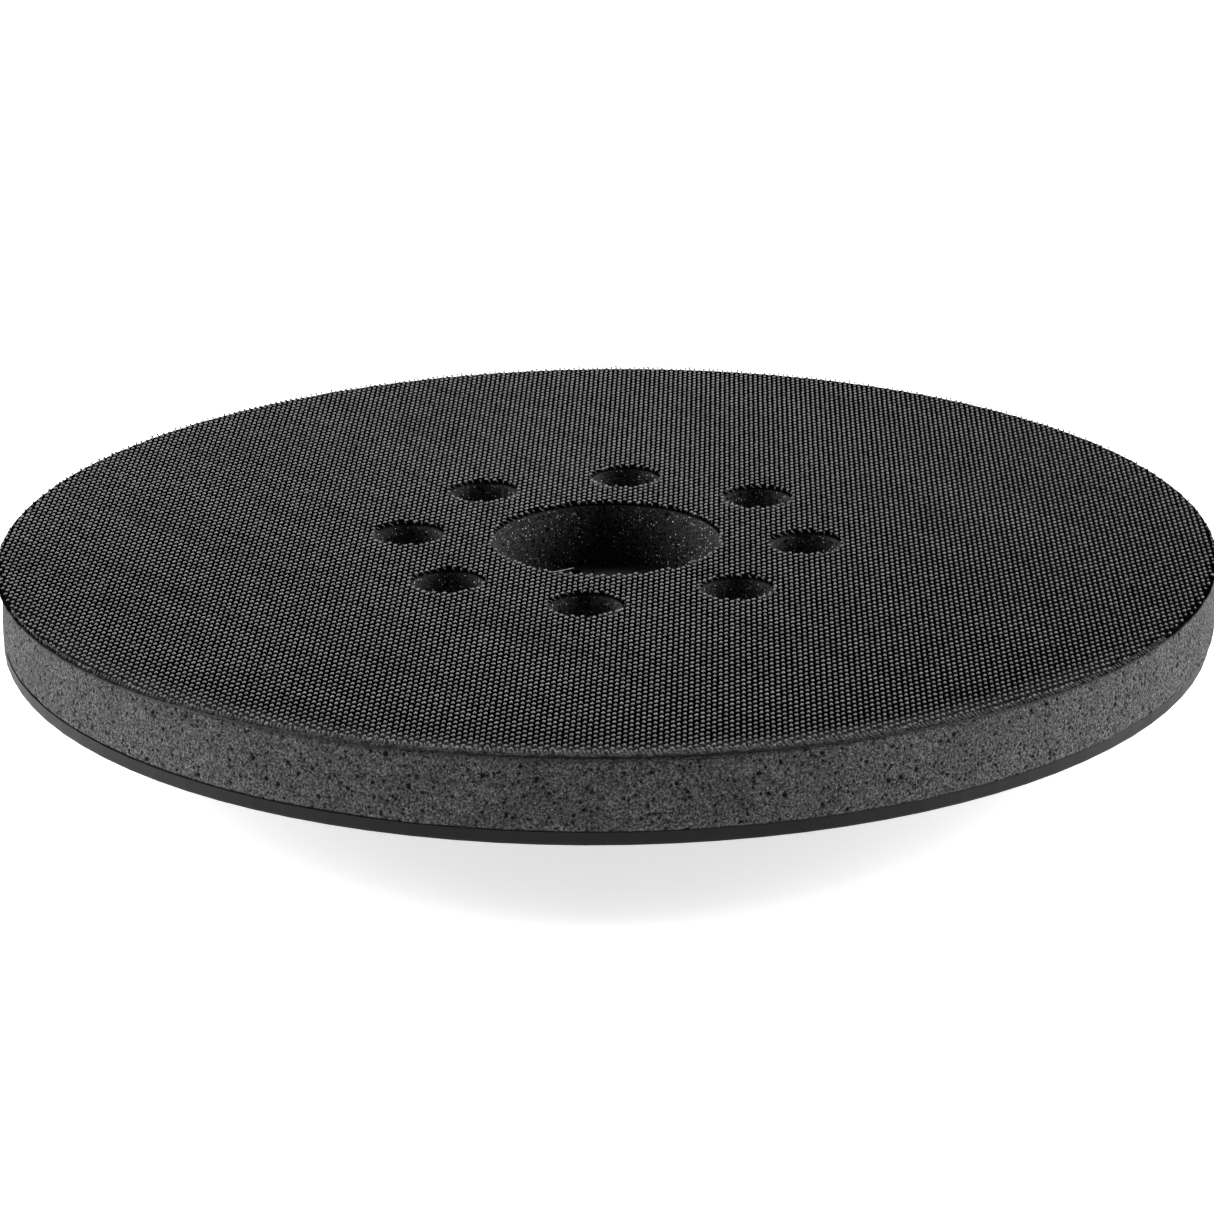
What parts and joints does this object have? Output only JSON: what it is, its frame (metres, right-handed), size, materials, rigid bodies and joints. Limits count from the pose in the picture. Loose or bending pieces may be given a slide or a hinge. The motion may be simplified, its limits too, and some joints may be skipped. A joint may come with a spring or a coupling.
{
  "type": "orbital sander backing pad",
  "caption": "Round soft sanding pad: hook facing on foam on a ribbed plate, with a central hub, fixing screw and a ring of dust holes.",
  "frame": {"origin": "on the pad's axis, at the rear seat of the drive hub, which is the lowest face", "axes": "+Z along the axis towards the hook face; +X through one dust hole"},
  "size_m": [0.225, 0.225, 0.0318],
  "materials": {
    "hook_tape": "black woven nylon hook tape",
    "foam": "charcoal open-cell polyurethane foam",
    "moulded_plate": "black glass-filled nylon, fine moulded texture",
    "black_steel": "turned or rolled steel, black oxide",
    "zinc_steel": "zinc-plated steel",
    "spring_steel": "grey zinc-flaked spring steel"
  },
  "bodies": {
    "pad": {"hook_facing": "hook_tape", "foam_body": "foam", "backing_plate": "moulded_plate", "drive_hub": "black_steel", "hub_screw_1": "black_steel", "hub_screw_2": "black_steel", "hub_screw_3": "black_steel", "hub_screw_4": "black_steel", "hub_screw_5": "black_steel", "hub_screw_6": "black_steel"},
    "washer_stack": {"clamp_washer": "zinc_steel", "lock_washer": "spring_steel"},
    "screw": {"fixing_screw": "zinc_steel"}
  },
  "joints": [
    {"name": "screw_lift", "type": "slide", "parent": "pad", "child": "washer_stack", "axis": [0, 0, 1], "range_m": [0, 0.011]},
    {"name": "screw_turn", "type": "hinge", "parent": "washer_stack", "child": "screw", "pos_m": [0, 0, 0.0168], "axis": [0, 0, 1], "continuous": true}
  ]
}
